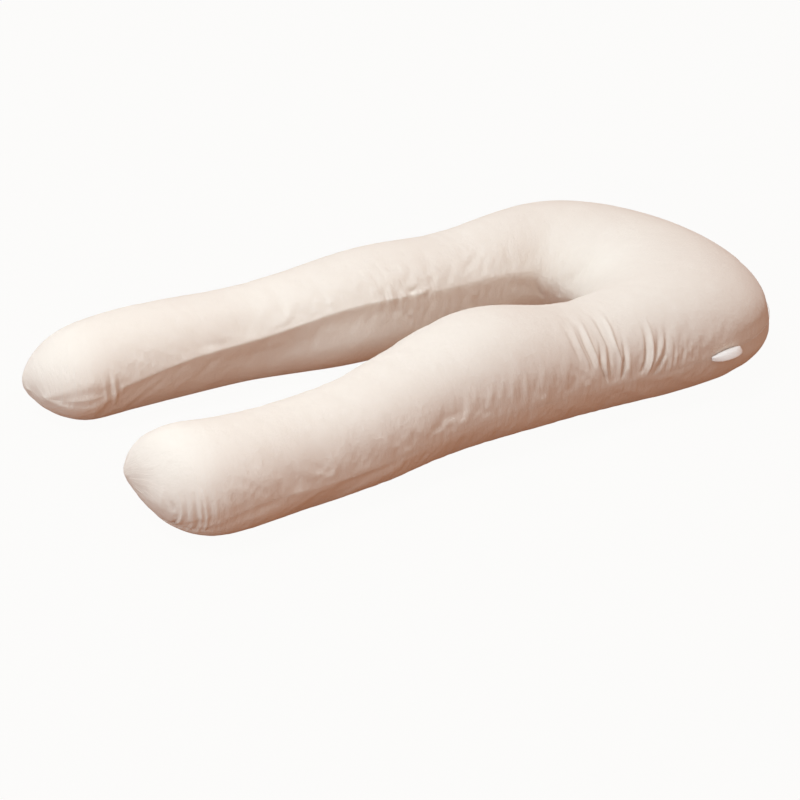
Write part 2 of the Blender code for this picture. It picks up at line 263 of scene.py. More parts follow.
# The pillow's folds. Each row has its height in millimetres, above 0 a ridge and below 0 a trough,
# its half width in millimetres, and then its line, from its wide soft end to its narrow sharp one: by turns the run
# in millimetres and the turn in degrees, round the section from the outer side over the top.
CREASES = (
    # where the near leg meets the bend
    (-1.7, 4.6, 820, 74, 809, 56, 808, 42, 812, 26),
    (2.5, 3.5, 838, 78, 825, 60, 820, 45, 824, 30, 825, 18),
    (-2.9, 3.0, 848, 76, 838, 60, 832, 46, 834, 32, 836, 20),
    (3.5, 3.2, 864, 82, 851, 65, 844, 48, 844, 32, 844, 18),
    (-5.8, 2.6, 866, 52, 857, 37, 851, 25, 855, 13, 858, 5),
    (2.8, 2.2, 872, 46, 864, 31, 859, 20, 860, 9),
    (-3.6, 3.3, 886, 58, 876, 40, 870, 26, 868, 10),
    (-2.4, 3.2, 888, 82, 881, 66, 876, 52, 874, 38),
    (4.5, 3.4, 914, 88, 903, 71, 896, 55, 890, 40, 890, 25, 883, 12),
    (-6.2, 2.7, 912, 50, 903, 34, 896, 20, 885, 6),
    (1.8, 4.8, 922, 50, 910, 32, 904, 17, 902, 6),
    (-5.8, 3.2, 956, 58, 948, 42, 941, 30, 934, 19, 922, 7),
    (4.5, 2.7, 968, 64, 961, 48, 954, 34, 948, 22, 941, 13, 931, 2),
    (-2.6, 2.2, 976, 52, 966, 38, 957, 26, 949, 17),
    (2.4, 2.5, 992, 56, 980, 42, 967, 28, 954, 18, 942, 7),
    (-4.6, 2.7, 988, 52, 977, 36, 968, 22, 955, 11, 942, 2),
    (1.3, 2.6, 974, 34, 967, 22, 961, 12, 954, 0),
    (-1.3, 2.6, 981, 34, 974, 22, 967, 10, 962, 0),
    (1.1, 2.7, 987, 32, 980, 20, 974, 8, 969, -2),
    (-1.2, 2.8, 995, 44, 987, 30, 981, 18, 976, 6),
    (1.0, 3.0, 999, 42, 991, 28, 985, 16, 980, 2),
    (-1.1, 3.0, 1005, 36, 997, 22, 990, 6),
    (1.0, 3.2, 1010, 38, 1001, 22, 995, 6),
    (-1.0, 3.4, 1018, 34, 1010, 18, 1004, 4),
    (0.8, 3.6, 1027, 36, 1019, 20, 1013, 6),
    # soft ripples up the near leg, low on its side
    (-0.4, 5.2, 800, 38, 792, 24, 790, 12),
    (0.4, 5.3, 782, 37, 774, 24, 770, 12),
    (-0.4, 4.8, 758, 35, 752, 24, 748, 12),
    (0.8, 3.8, 732, 40, 727, 27, 722, 19, 720, 8),
    (-0.8, 3.6, 716, 34, 712, 23, 708, 20, 705, 8),
    (0.8, 4.1, 694, 40, 689, 27, 688, 18, 685, 8),
    (-0.8, 3.8, 679, 34, 675, 23, 674, 18, 671, 6),
    (0.8, 3.8, 668, 37, 662, 26, 659, 18, 655, 10),
    (-0.5, 3.1, 654, 32, 650, 23, 645, 19, 641, 8),
    (0.4, 3.1, 644, 34, 640, 23, 635, 19, 631, 8),
    (-0.4, 3.3, 630, 30, 627, 21, 624, 12),
    (0.7, 3.5, 622, 32, 618, 22, 616, 18, 613, 6),
    (-0.6, 3.6, 613, 34, 609, 23, 604, 18, 600, 8),
    (0.8, 4.3, 597, 40, 591, 29, 584, 19, 578, 10),
    (-0.6, 4.3, 572, 38, 565, 27, 559, 18, 553, 10),
    (0.8, 5.1, 552, 50, 546, 37, 543, 26, 539, 14),
    (-0.4, 4.3, 528, 37, 523, 26, 518, 16),
    (0.4, 4.1, 518, 35, 512, 24, 507, 14),
    (-0.4, 4.6, 506, 40, 501, 29, 497, 18, 493, 10),
    (0.6, 4.9, 483, 37, 474, 25, 467, 20, 461, 6),
    (-0.4, 4.5, 462, 32, 455, 21, 450, 12),
    (0.4, 4.8, 440, 32, 434, 19, 430, 8),
    (-0.2, 4.8, 420, 27, 415, 20, 412, 6),
    (0.2, 5.2, 364, 27, 356, 18, 352, 2),
    (-0.2, 5.2, 310, 24, 304, 14, 300, -2),
    (0.2, 5.2, 236, 21, 230, 12, 228, -4),
    # puckers of the near leg's end
    (-2.4, 5.0, 10, 24, 13, 8, 15, -8),
    (-3.4, 3.2, 16, 0, 18, -18, 20, -36, 21, -56),
    (3.2, 2.7, 26, 42, 25, 22, 25, 0, 24, -24, 23, -54),
    (-1.7, 2.8, 32, 36, 31, 18, 30, 0, 30, -20),
    (1.7, 3.0, 37, 30, 36, 12, 37, -8, 39, -28, 39, -50),
    (-3.6, 3.0, 48, 40, 45, 22, 42, 6, 44, -14, 45, -40),
    (1.6, 2.8, 52, 36, 51, 20, 50, 2, 50, -16),
    (-1.4, 2.8, 56, 28, 55, 10, 54, -10),
    (2.8, 3.0, 60, 40, 58, 16, 58, -6, 58, -34),
    (-1.4, 3.4, 66, 30, 65, 10, 64, -14),
    (1.1, 4.0, 78, 30, 76, 10, 75, -12),
    (1.0, 5.0, 100, 34, 97, 12, 95, -10),
    (-1.4, 3.2, 4, 128, 12, 122, 22, 120),
    (1.4, 3.2, 4, 140, 13, 136, 26, 134),
    # the far leg: a puckered gather on its inner side, and a pleat at its end
    (-2.8, 3.2, 2012, 139, 2004, 142, 1994, 143, 1986, 141),
    (2.0, 3.7, 2024, 136, 2018, 141, 2014, 150),
    (1.8, 3.7, 2002, 134, 1992, 137, 1980, 137),
    (1.6, 3.7, 2004, 148, 1988, 148, 1966, 145, 1952, 146),
    (-1.7, 3.2, 2032, 132, 2029, 140, 2030, 148, 2036, 156),
    (-1.3, 3.4, 2016, 126, 2012, 132, 2010, 137),
    (1.4, 4.0, 2044, 128, 2042, 138, 2044, 150),
    (-1.2, 4.0, 2056, 126, 2054, 138, 2058, 150),
    (-1.2, 3.4, 1984, 130, 1976, 134, 1962, 138),
    (1.0, 3.7, 1976, 126, 1964, 131, 1948, 137),
    (-1.0, 3.7, 1994, 154, 1978, 152, 1958, 151),
    (1.0, 4.4, 2070, 130, 2068, 142, 2074, 154),
    (-1.6, 6.2, 2036, 112, 2018, 116, 1996, 118),
    (3.6, 4.2, 2600, 148, 2603, 164, 2604, 184, 2606, 200),
    (-2.8, 3.6, 2610, 148, 2612, 166, 2613, 188),
    (2.0, 4.0, 2622, 150, 2624, 168, 2625, 188),
    (-2.2, 4.0, 2592, 154, 2594, 172, 2595, 190),
    # inside the bend, where the cloth is short of room
    (-4.0, 3.4, 1676, 162, 1652, 170, 1630, 177, 1600, 188),
    (2.0, 5.0, 1640, 160, 1616, 170, 1590, 182),
    (-2.4, 5.0, 1560, 158, 1540, 170, 1520, 184),
    (-3.0, 5.0, 1180, 160, 1190, 172, 1205, 188),
)
TURN_WIDTH = 0.0019  # how far a degree round the section is, to measure across a slanting fold
CREASE_SAMPLES = 160  # points along a fold's line from which distances are measured
CREASE_RUN_REACH = 12  # how far it reaches along the tube, in half widths
CREASE_TURN_REACH = 3  # how far it reaches round the tube past its line's ends, in half widths
CREASE_LEAN = 0.38  # above 0, a ridge falls off more steeply on the side with the greater run
CREASE_RISE, CREASE_FALL = 0.65, 0.20  # shares of its length over which it fades at its soft and its sharp end
CREASE_WIDTHS = (1.45, 0.80)  # its half widths at those ends, as shares of the one given
CREASE_SHAPE = 1.7  # below 2, its crest is sharper than a bell curve's

# Small puckers where the seam gathers the cloth, scattered along it with a fixed seed.
PUCKER_SEED = 7
PUCKER_SPACING = 0.014  # along the seam
PUCKER_STEPS = (0.35, 1.2)  # from one to the next, as shares of the spacing
PUCKER_HEIGHT = 0.0010
PUCKER_HALF_WIDTH = (0.0032, 0.0062)
PUCKER_REACH = (0.012, 0.036)  # how far it fades away from the seam
PUCKER_LEAN = 0.25  # how much it slants at the most, as a slope
PUCKER_WINDOW = (5, 0.02)  # the rows that it reaches: in half widths, and a distance more
PUCKER_CLUSTER = 0.11  # the gathers are stronger and weaker by turns over about this distance
PUCKER_CLUSTERS = (0.25, 1.3)  # how strong they are
PUCKER_ROOM = 0.5  # there is none where a metre of run is this long along the seam, or shorter
END_PUCKER_SPACING = 0.012  # along an end seam
END_PUCKER_STEPS = (0.5, 1.3)
END_PUCKER_HEIGHT = 0.0013
END_PUCKER_REACH = 0.016
END_PUCKER_RISE = 0.006  # it rises from the end seam over this distance


def crease_lift(runs, angles, along):
    """How far the listed folds lift the cloth. along: how long a metre of run is at each point."""
    lift = np.zeros(angles.shape)
    turns = (np.degrees(angles) + 90) % 360 - 90
    shares = np.linspace(0, 1, CREASE_SAMPLES)
    for height, half_width, *path in CREASES:
        height, half_width = height / 1000, half_width / 1000
        path_runs, path_turns = np.reshape(path, (-1, 2)).T / ((1000,), (1,))
        knots = running_total(np.hypot(np.diff(path_runs), TURN_WIDTH * np.diff(path_turns)))
        line_runs = natural_spline(knots, path_runs)(shares * knots[-1])
        line_turns = natural_spline(knots, path_turns)(shares * knots[-1])
        reach = CREASE_RUN_REACH * half_width
        rows = np.flatnonzero((runs > line_runs.min() - reach) & (runs < line_runs.max() + reach))
        reach = CREASE_TURN_REACH * half_width / TURN_WIDTH
        near = (turns[rows] > line_turns.min() - reach) & (turns[rows] < line_turns.max() + reach)
        patch = np.ix_(rows, np.flatnonzero(near.any(axis=0)))
        side_run = (runs[rows, None, None] - line_runs) * along[patch][..., None]
        side_turn = (turns[patch][..., None] - line_turns) * TURN_WIDTH
        apart = np.hypot(side_run, side_turn)
        closest = apart.argmin(axis=-1)
        share = shares[closest]
        beyond = np.take_along_axis(side_run, closest[..., None], axis=-1)[..., 0]
        lean = CREASE_LEAN * np.sign(height) * np.tanh(beyond / half_width)
        fade = smooth_step(share / CREASE_RISE) * smooth_step((1 - share) / CREASE_FALL)
        width_here = half_width * np.interp(share, (0, 1), CREASE_WIDTHS) * (1 - lean)
        lift[patch] += height * fade * np.exp(-((apart.min(axis=-1) / width_here) ** CREASE_SHAPE))
    return lift


def pucker_lift(tube, runs, from_seams, along, across):
    """Small gathers along both seams, on both panels, and away from the end seams."""
    chance = np.random.default_rng(PUCKER_SEED)
    lift = np.zeros(across.shape)
    for column, distance in zip((0, PANEL_COLUMNS), from_seams):
        steps = along[:, column]
        sewn = total_under(steps, runs)
        room = smooth_step((steps - PUCKER_ROOM) / (1 - PUCKER_ROOM))[:, None]
        cluster_places = np.arange(0, sewn[-1] + PUCKER_CLUSTER, PUCKER_CLUSTER)
        clusters = chance.uniform(*PUCKER_CLUSTERS, len(cluster_places))
        place = PUCKER_SPACING
        while place < sewn[-1] - PUCKER_SPACING:
            height = PUCKER_HEIGHT * chance.uniform(-1.0, 1.0) * np.interp(place, cluster_places, clusters)
            half_width = chance.uniform(*PUCKER_HALF_WIDTH)
            reach = chance.uniform(*PUCKER_REACH)
            lean = chance.uniform(-PUCKER_LEAN, PUCKER_LEAN)
            rows = np.flatnonzero(np.abs(sewn - place) < PUCKER_WINDOW[0] * half_width + PUCKER_WINDOW[1])
            side = (sewn[rows, None] - place - lean * distance[rows]) / half_width
            lift[rows] += height * room[rows] * np.exp(-(side**2) - (distance[rows] / reach) ** 2)
            place += PUCKER_SPACING * chance.uniform(*PUCKER_STEPS)
    from_end = tube.from_end(runs)
    for near in (True, False):
        rows = np.flatnonzero((from_end < 4 * END_PUCKER_REACH) & ((runs < tube.length / 2) == near))
        fade = np.minimum(from_end[rows] / END_PUCKER_RISE, 1) ** 0.5 * np.exp(-from_end[rows] / END_PUCKER_REACH)
        place = across[rows].min()
        while place < across[rows].max():
            height = END_PUCKER_HEIGHT * chance.uniform(-1.0, 1.0)
            half_width = chance.uniform(*PUCKER_HALF_WIDTH)
            side = (across[rows] - place) / half_width
            lift[rows] += height * bell(side) * fade[:, None]
            place += END_PUCKER_SPACING * chance.uniform(*END_PUCKER_STEPS)
    return lift


# --- Meshes ---

RUN_SAMPLES = 6001  # places along the tube at which the rings' steps are added up
RINGS = 850
PANEL_COLUMNS = 58  # round each of the two panels
SEAM_CROWDING = 0.55  # above 0, the columns lie closer together near the seams
# Steps between the rings as (run, step): shorter where the folds are fine. Only their proportions count.
RING_STEPS = (
    (0.000, 0.0014), (0.070, 0.0015), (0.110, 0.0034), (0.400, 0.0036), (0.460, 0.0026), (0.790, 0.0024),
    (0.810, 0.0015), (1.010, 0.0016), (1.060, 0.0040), (1.500, 0.0050), (1.930, 0.0046), (1.960, 0.0021),
    (2.070, 0.0021), (2.110, 0.0052), (2.570, 0.0052), (2.590, 0.0020), (2.630, 0.0020), (2.660, 0.0030),
)
END_STEP, END_STEP_GROWTH = 0.0002, 0.0120  # the first step at an end, and how it grows with the distance's root

# Where the seam gathers the cloth into fine ripples, as (run, strength), on the outer and the inner side.
GATHERS = (
    (
        (0.0, 0.9), (0.08, 0.8), (0.14, 0.25), (0.38, 0.3), (0.46, 0.75),
        (0.80, 0.9), (1.05, 0.9), (1.25, 0.5), (2.6, 0.5),
    ),
    ((0.0, 0.4), (0.90, 0.2), (1.00, 0.0), (1.90, 0.0), (1.96, 0.7), (2.06, 0.7), (2.12, 0.2), (2.6, 0.5)),
)
GATHER_REACH = 0.050  # how far the ripples run away from the seam

# The coarser cover that is settled as cloth.
SETTLE_RINGS = 330
SETTLE_COLUMNS = 36
SETTLE_STEPS = (0.0098, 0.0090)  # the usual distance between its rings, and between its columns
SETTLE_FRAMES = 20
SETTLE_HOLD = 0.10  # how firmly the filling holds the cloth above the floor
SETTLE_FLOOR = 0.002  # below this height the floor holds it fully
SETTLE_GATHER = np.radians(12)  # the seams draw the cloth in over this part of the section
SETTLE_KEPT_SIZE = 0.034  # creases wider than this are left out, so that the pillow keeps its form
SETTLE_CAP = 0.005  # no crease is deeper
SETTLE_REACH = 0.060  # the creases are deepest near the seams, and fade over this distance
SETTLE_FAR_SHARE = 0.2  # what is left of them farther off
CLOTH = dict(
    quality=6, mass=0.2, tension_stiffness=25, compression_stiffness=25, shear_stiffness=8, bending_stiffness=0.15,
    use_pressure=True, uniform_pressure_force=4, vertex_group_mass="held", pin_stiffness=1.0,
    vertex_group_shrink="gathered", shrink_min=-0.035, shrink_max=0.035,
)


def panel_shares(columns, crowding):
    """Places from seam to seam over a panel, as shares of its width."""
    even = np.arange(columns) / columns
    return even - crowding * np.sin(2 * np.pi * even) / (2 * np.pi)


def closed_grid_mesh(name, points):
    """A closed mesh from rings of points. The first and last rings close along a seam between the two panels."""
    rings, around = points.shape[:2]
    columns = around // 2
    index = np.arange(rings * around).reshape(rings, around)
    for ring in (0, rings - 1):
        mirrored = [(-i) % around for i in range(around)]
        points[ring] = (points[ring] + points[ring][mirrored]) / 2
        index[ring, columns + 1 :] = index[ring, columns - 1 : 0 : -1]
    used, compact = np.unique(index, return_inverse=True)
    index = compact.reshape(index.shape)
    here, ahead = index[:-1], index[1:]
    faces = np.stack([here, ahead, np.roll(ahead, -1, axis=1), np.roll(here, -1, axis=1)], -1).reshape(-1, 4)
    mesh = bpy.data.meshes.new(name)
    mesh.from_pydata(points.reshape(-1, 3)[used].tolist(), [], faces.tolist())
    mesh.shade_smooth()
    return mesh, index


def add_uv(mesh, name, upper, lower):
    """A UV map from two grids, one for each panel, each with a last column that lies on the far seam."""
    corners = []
    for panel in (upper, lower):
        here, ahead = panel[:-1], panel[1:]
        corners.append(np.stack([here[:, :-1], ahead[:, :-1], ahead[:, 1:], here[:, 1:]], axis=2))
    layer = mesh.uv_layers.new(name=name)
    layer.data.foreach_set("uv", np.concatenate(corners, axis=1).reshape(-1))


def link(name, mesh):
    obj = bpy.data.objects.new(name, mesh)
    bpy.context.scene.collection.objects.link(obj)
    return obj


def cubic_sample(field, places, axis, wraps):
    """The field at fractional places along an axis, by smooth interpolation between its rows."""
    field = np.moveaxis(field, axis, 0)
    count = len(field)
    base = np.floor(places).astype(int)
    part = (places - base).reshape((-1,) + (1,) * (field.ndim - 1))
    rows = []
    for offset in (-1, 0, 1, 2):
        row = (base + offset) % count if wraps else np.clip(base + offset, 0, count - 1)
        rows.append(field[row])
    a, b, c, d = rows
    result = b + part / 2 * (c - a + part * (2 * a - 5 * b + 4 * c - d + part * (3 * (b - c) + d - a)))
    return np.moveaxis(result, 0, axis)


def blurred(field, sigma_rows, sigma_columns):
    """The field with its small detail smoothed away. Its columns close round the tube."""
    for axis, sigma in ((0, sigma_rows), (1, sigma_columns)):
        reach = int(3 * sigma)
        weights = np.exp(-((np.arange(-reach, reach + 1) / sigma) ** 2) / 2)
        weights /= weights.sum()
        mode = "edge" if axis == 0 else "wrap"
        width = [(reach, reach) if a == axis else (0, 0) for a in (0, 1)]
        padded = np.pad(field, width, mode=mode)
        field = sum(w * np.take(padded, range(i, i + field.shape[axis]), axis) for i, w in enumerate(weights))
    return field


def settled_creases(tube):
    """Fine natural creases: the cover is settled as cloth over its filling, with the seams drawn a little short."""
    runs = ring_runs(tube, SETTLE_RINGS, lambda fine: 1 / outer_stretch(tube, fine))
    angles = tube.angles(runs, panel_shares(SETTLE_COLUMNS, 0))
    start = tube.surface(runs, angles)
    mesh, index = closed_grid_mesh("settling", start.copy())
    cover = link("settling", mesh)
    held, gathered = (cover.vertex_groups.new(name=name) for name in ("held", "gathered"))
    turns = [np.abs(turn_between(angles, side[:, None])) for side in tube.seam_angles(runs)]
    near_seam = bell(np.minimum(*turns) / SETTLE_GATHER)
    for place, vertex in np.ndenumerate(index):
        grounded = start[place][2] < SETTLE_FLOOR
        held.add([int(vertex)], 1.0 if grounded else SETTLE_HOLD, "REPLACE")
        gathered.add([int(vertex)], float(near_seam[place]), "REPLACE")
    cloth = cover.modifiers.new("settle", "CLOTH")
    for name, value in CLOTH.items():
        setattr(cloth.settings, name, value)
    cloth.settings.effector_weights.gravity = 0
    cloth.collision_settings.use_collision = False
    cloth.point_cache.frame_start, cloth.point_cache.frame_end = 1, SETTLE_FRAMES
    scene = bpy.context.scene
    for number in range(1, SETTLE_FRAMES + 1):
        scene.frame_set(number)
    settled = cover.evaluated_get(bpy.context.evaluated_depsgraph_get()).to_mesh()
    places = np.empty(3 * len(settled.vertices))
    settled.vertices.foreach_get("co", places)
    moved = places.reshape(-1, 3)[index] - start
    scene.frame_set(1)
    bpy.data.objects.remove(cover)
    lift = (moved * outward_normals(start)).sum(axis=-1)
    lift[[0, -1]] = 0
    lift -= blurred(lift, *(SETTLE_KEPT_SIZE / step for step in SETTLE_STEPS))
    return runs, SETTLE_CAP * np.tanh(lift / SETTLE_CAP)


def seam_distance(points, column):
    """The distance of each point from this seam, measured round its ring."""
    turned = np.roll(points, -column, axis=1)
    steps = np.linalg.norm(np.roll(turned, -1, axis=1) - turned, axis=-1)
    forward = running_total(steps[:, :-1])
    whole = steps.sum(axis=1, keepdims=True)
    return np.roll(np.minimum(forward, whole - forward), column, axis=1)


def arc_lengths(points, columns):
    """For each panel, how far each point lies round its ring from the panel's first seam."""
    closed = np.concatenate([points, points[:, :1]], axis=1)
    arcs = []
    for first in (0, columns):
        panel = closed[:, first : first + columns + 1]
        steps = np.linalg.norm(np.diff(panel, axis=1), axis=-1)
        arcs.append(running_total(steps))
    return arcs


def ring_step_at(tube, fine):
    """The step wanted between the rings at these runs."""
    step = from_table(RING_STEPS, fine) / outer_stretch(tube, fine)
    return np.minimum(step, END_STEP + END_STEP_GROWTH * np.sqrt(tube.from_end(fine)))


def cover_grid(tube, cover):
    """The cover's points with its seam, folds and creases, and the smooth grid that they are laid on."""
    runs = ring_runs(tube, RINGS, lambda fine: ring_step_at(tube, fine))
    shares = panel_shares(PANEL_COLUMNS, SEAM_CROWDING)
    angles = tube.angles(runs, shares)
    smooth = tube.surface(runs, angles)
    height_share = tube.end_shares(runs)[1][:, None]
    groove = cover.groove_depth * np.minimum(height_share / GROOVE_END_SHARE, 1)
    from_seams = [seam_distance(smooth, 0), seam_distance(smooth, PANEL_COLUMNS)]
    lift = np.zeros(angles.shape)
    for side, (angle, distance) in enumerate(zip(tube.seam_angles(runs), from_seams)):
        turn = np.abs(turn_between(angles, angle[:, None]))
        lift += seam_edge(cover, side, runs)[:, None] * height_share * np.exp(-turn / SEAM_RIDGE_SPREAD)
        lift -= groove * bell(distance / GROOVE_HALF_WIDTH)
    under = from_seams[1][:, PANEL_COLUMNS:] / TUCK_REACH
    lift[:, PANEL_COLUMNS:] -= from_table(INNER_TUCK, runs)[:, None] * under * np.exp((1 - under**2) / 2)
    here, out, _ = tube.frame(runs)
    across = ((smooth[..., :2] - here[:, None]) * out[:, None]).sum(axis=-1)
    along = np.linalg.norm(np.gradient(smooth, runs, axis=0), axis=-1)
    lift += cover.crease_strength * crease_lift(runs, angles, along)
    lift += cover.crease_strength * pucker_lift(tube, runs, from_seams, along, across)
    settle_runs, field = settled_creases(tube)
    rows = np.interp(runs, settle_runs, np.arange(len(settle_runs)))
    columns = np.concatenate([shares, 1 + shares]) * SETTLE_COLUMNS
    field = cubic_sample(cubic_sample(field, rows, 0, False), columns, 1, True)
    near = bell(np.minimum(*from_seams) / SETTLE_REACH)
    lift += cover.settle_strength * (SETTLE_FAR_SHARE + (1 - SETTLE_FAR_SHARE) * near) * field
    lift *= smooth_step(smooth[..., 2] / RELIEF_RISE)
    points = smooth + outward_normals(smooth) * lift[..., None]
    points[..., 2] = np.maximum(points[..., 2], 0)
    gather = np.zeros(angles.shape)
    for strengths, distance in zip(GATHERS, from_seams):
        strength = from_table(strengths, runs)[:, None]
        gather = np.maximum(gather, strength * bell(distance / GATHER_REACH))
    return runs, smooth, points, gather


# --- Materials ---


def feed(tree, node, inputs):
    """Sets a node's inputs, given as values or as the nodes or sockets that feed them."""
    for key, value in inputs.items():
        if isinstance(value, bpy.types.Node):
            value = value.outputs[0]
        if isinstance(value, bpy.types.NodeSocket):
            tree.links.new(value, node.inputs[key])
        else:
            node.inputs[key].default_value = value
    return node


def add_node(tree, kind, inputs=None, **settings):
    """A node with its settings and inputs."""
    node = tree.nodes.new(kind)
    for name, value in settings.items():
        setattr(node, name, value)
    return feed(tree, node, inputs or {})


def shader(tree, kind, inputs=None, **settings):
    return add_node(tree, "ShaderNode" + kind, inputs, **settings)


def calculate(tree, operation, *values):
    return shader(tree, "Math", dict(enumerate(values)), operation=operation)


def map_range(tree, value, low, high, to_low=0.0, to_high=1.0, **settings):
    return shader(tree, "MapRange", {0: value, 1: low, 2: high, 3: to_low, 4: to_high}, **settings)


def mix_colours(tree, share, first, second):
    """A colour between two, each given as (red, green, blue) or as the socket that feeds it."""
    first, second = (c if isinstance(c, bpy.types.NodeSocket) else (*c, 1) for c in (first, second))
    return shader(tree, "Mix", {0: share, 6: first, 7: second}, data_type="RGBA").outputs[2]


def bump(tree, height, strength, distance, below=None):
    """Relief from a height, on top of the relief below it."""
    inputs = {"Strength": strength, "Distance": distance, "Height": height}
    return shader(tree, "Bump", {**inputs, "Normal": below} if below else inputs)


def scaled(colour, share):
    return tuple(share * value for value in colour)


def empty_tree(owner):
    """The node tree of a material or world, cleared."""
    owner.use_nodes = True
    owner.node_tree.nodes.clear()
    return owner.node_tree


def new_material(name):
    material = bpy.data.materials.new(name)
    return material, empty_tree(material)


def finish_surface(tree, inputs):
    """Ends a material's tree with the shader of cloth or thread."""
    shader(tree, "OutputMaterial", {0: shader(tree, "BsdfPrincipled", inputs)})


def weave_height(tree, uv, pitch):
    """Height of a plain weave with this distance between its threads."""
    parts = shader(tree, "SeparateXYZ", {0: uv})
    waves = [
        calculate(tree, "SINE", calculate(tree, "MULTIPLY", parts.outputs[axis], float(np.pi / pitch)))
        for axis in (0, 1)
    ]
    warp, weft = (calculate(tree, "ABSOLUTE", wave) for wave in waves)
    on_top = map_range(tree, calculate(tree, "MULTIPLY", *waves), -0.25, 0.25, interpolation_type="SMOOTHSTEP")
    return shader(tree, "Mix", {0: on_top, 2: warp, 3: weft})


def uneven(tree, coordinates, stretch, scale, detail=3.0, roughness=0.55):
    """A soft uneven pattern from 0 to 1, drawn out along one direction."""
    placed = shader(tree, "Mapping", {"Vector": coordinates, "Scale": stretch})
    inputs = {"Vector": placed, "Scale": scale, "Detail": detail, "Roughness": roughness}
    return shader(tree, "TexNoise", inputs)


def cotton_material(cover):
    """Matt ivory plain-weave cotton: fine threads, slubs, a light crinkle, and a faint uneven tone."""
    material, tree = new_material("ivory_cloth")
    grain = shader(tree, "UVMap", uv_map="grain")
    tube = shader(tree, "UVMap", uv_map="tube")
    gather = shader(tree, "Attribute", attribute_name="gather").outputs["Fac"]
    dimples = uneven(tree, tube, (1.0, 0.75, 1.0), 26.0, 3.0, 0.5)
    ripples = uneven(tree, tube, (1.0, 0.22, 1.0), 110.0, 2.0, 0.5)
    crinkle = uneven(tree, tube, (1.0, 0.8, 1.0), 170.0, 3.0, 0.6)
    warp_slubs = uneven(tree, grain, (1.0, 0.06, 1.0), 900.0, 2.0)
    weft_slubs = uneven(tree, grain, (0.06, 1.0, 1.0), 900.0, 2.0)
    slubs = calculate(tree, "ADD", warp_slubs, weft_slubs)
    weave = weave_height(tree, grain, cover.thread_pitch)
    tone = uneven(tree, tube, (1.0, 0.6, 1.0), 9.0, 4.0, 0.6)
    fine_tone = calculate(tree, "MULTIPLY_ADD", slubs, 0.25, calculate(tree, "MULTIPLY", tone, 0.6))
    relief = None
    for height, strength, distance in (
        (dimples, 0.5, 0.0042),
        (ripples, gather, 0.0018),
        (crinkle, 0.45, 0.0011),
        (slubs, 0.35, 0.00022),
        (weave, 0.45, 0.00016),
    ):
        relief = bump(tree, height, strength, distance, relief)
    colour = mix_colours(tree, map_range(tree, fine_tone, 0.35, 0.80), cover.shade_colour, cover.colour)
    rough = map_range(tree, slubs, 0.6, 1.4, 0.84, 0.95)
    sheen = {"Sheen Weight": 0.18, "Sheen Roughness": 0.45, "Sheen Tint": (1.0, 0.95, 0.90, 1)}
    shine = {"Roughness": rough, "Specular IOR Level": 0.25, **sheen}
    finish_surface(tree, {"Base Color": colour, "Normal": relief, **shine})
    return material


def thread_material(seam):
    """Spun ivory sewing thread, with its twist."""
    material, tree = new_material("ivory_thread")
    place = shader(tree, "TexCoord").outputs["Object"]
    twist = uneven(tree, place, (1.0, 1.0, 2.5), 2600.0, 1.0)
    tone = uneven(tree, place, (1.0, 1.0, 1.0), 60.0, 1.0)
    colour = mix_colours(tree, tone, scaled(seam.thread_colour, 0.93), seam.thread_colour)
    relief = bump(tree, twist, 0.5, 0.0001)
    finish_surface(tree, {"Base Color": colour, "Normal": relief, "Roughness": 0.6, "Sheen Weight": 0.15})
    return material


def tape_material(label):
    """Smooth white woven tape, with closely set threads."""
    material, tree = new_material("white_tape")
    grain = shader(tree, "UVMap", uv_map="grain")
    streaks = uneven(tree, grain, (0.08, 1.0, 1.0), 1400.0, 2.0)
    colour = mix_colours(tree, streaks, scaled(label.colour, 0.94), label.colour)
    relief = bump(tree, weave_height(tree, grain, TAPE_PITCH), 0.4, 0.0001)
    finish_surface(tree, {"Base Color": colour, "Normal": relief, "Roughness": 0.55, "Sheen Weight": 0.1})
    return material


# --- Settings ---


def a_number(name, description, default, **more):
    return bpy.props.FloatProperty(name=name, description=description, default=default, **more)


def a_length(name, description, default, least=0.0):
    return a_number(name, description, default, unit="LENGTH", min=least, precision=5)


def a_colour(name, description, default):
    return bpy.props.FloatVectorProperty(name=name, description=description, default=default, subtype="COLOR")


class CoverSettings(bpy.types.PropertyGroup):
    """The cotton cover."""

    colour: a_colour("Colour", "The cloth where it is lightest", (0.87, 0.79, 0.69))
    shade_colour: a_colour("Uneven tone", "The cloth where it is darkest", (0.83, 0.74, 0.64))
    thread_pitch: a_length("Thread pitch", "Distance between the threads of the weave", 0.0008, 0.0003)
    seam_ridge: a_length("Seam edge", "How far the seam stands proud of the tube", 0.0022)
    groove_depth: a_length("Seam groove", "Depth of the line where the panels meet", 0.0005)
    crease_strength: a_number("Folds", "Depth of the folds, as a share of the real ones", 1.0, min=0.0, max=1.5)
    settle_strength: a_number("Fine creases", "Depth of the creases that the cloth settles into", 0.5, min=0.0)


class SeamSettings(bpy.types.PropertyGroup):
    """The sewn line all the way round."""

    stitch_pitch: a_length("Stitch pitch", "Distance from one stitch to the next", 0.0032, 0.001)
    stitch_length: a_length("Stitch length", "Length of a stitch across the seam", 0.0022)
    thread_thickness: a_length("Thread", "Thickness of the sewing thread", 0.0006)
    thread_colour: a_colour("Thread colour", "Colour of the sewing thread", (0.80, 0.73, 0.66))


class LabelSettings(bpy.types.PropertyGroup):
    """The blank folded label in the outer seam."""

    length: a_length("Length", "Length along the seam", 0.070)
    depth: a_length("Depth", "How far it stands out from the seam", 0.024)
    thickness: a_length("Tape", "Thickness of the tape", 0.0005)
    fullness: a_length("Fullness", "Half the room inside the fold", 0.0055)
    droop: a_length("Droop", "How far its folded edge hangs down", 0.006)
    colour: a_colour("Colour", "Colour of the tape", (0.90, 0.845, 0.785))


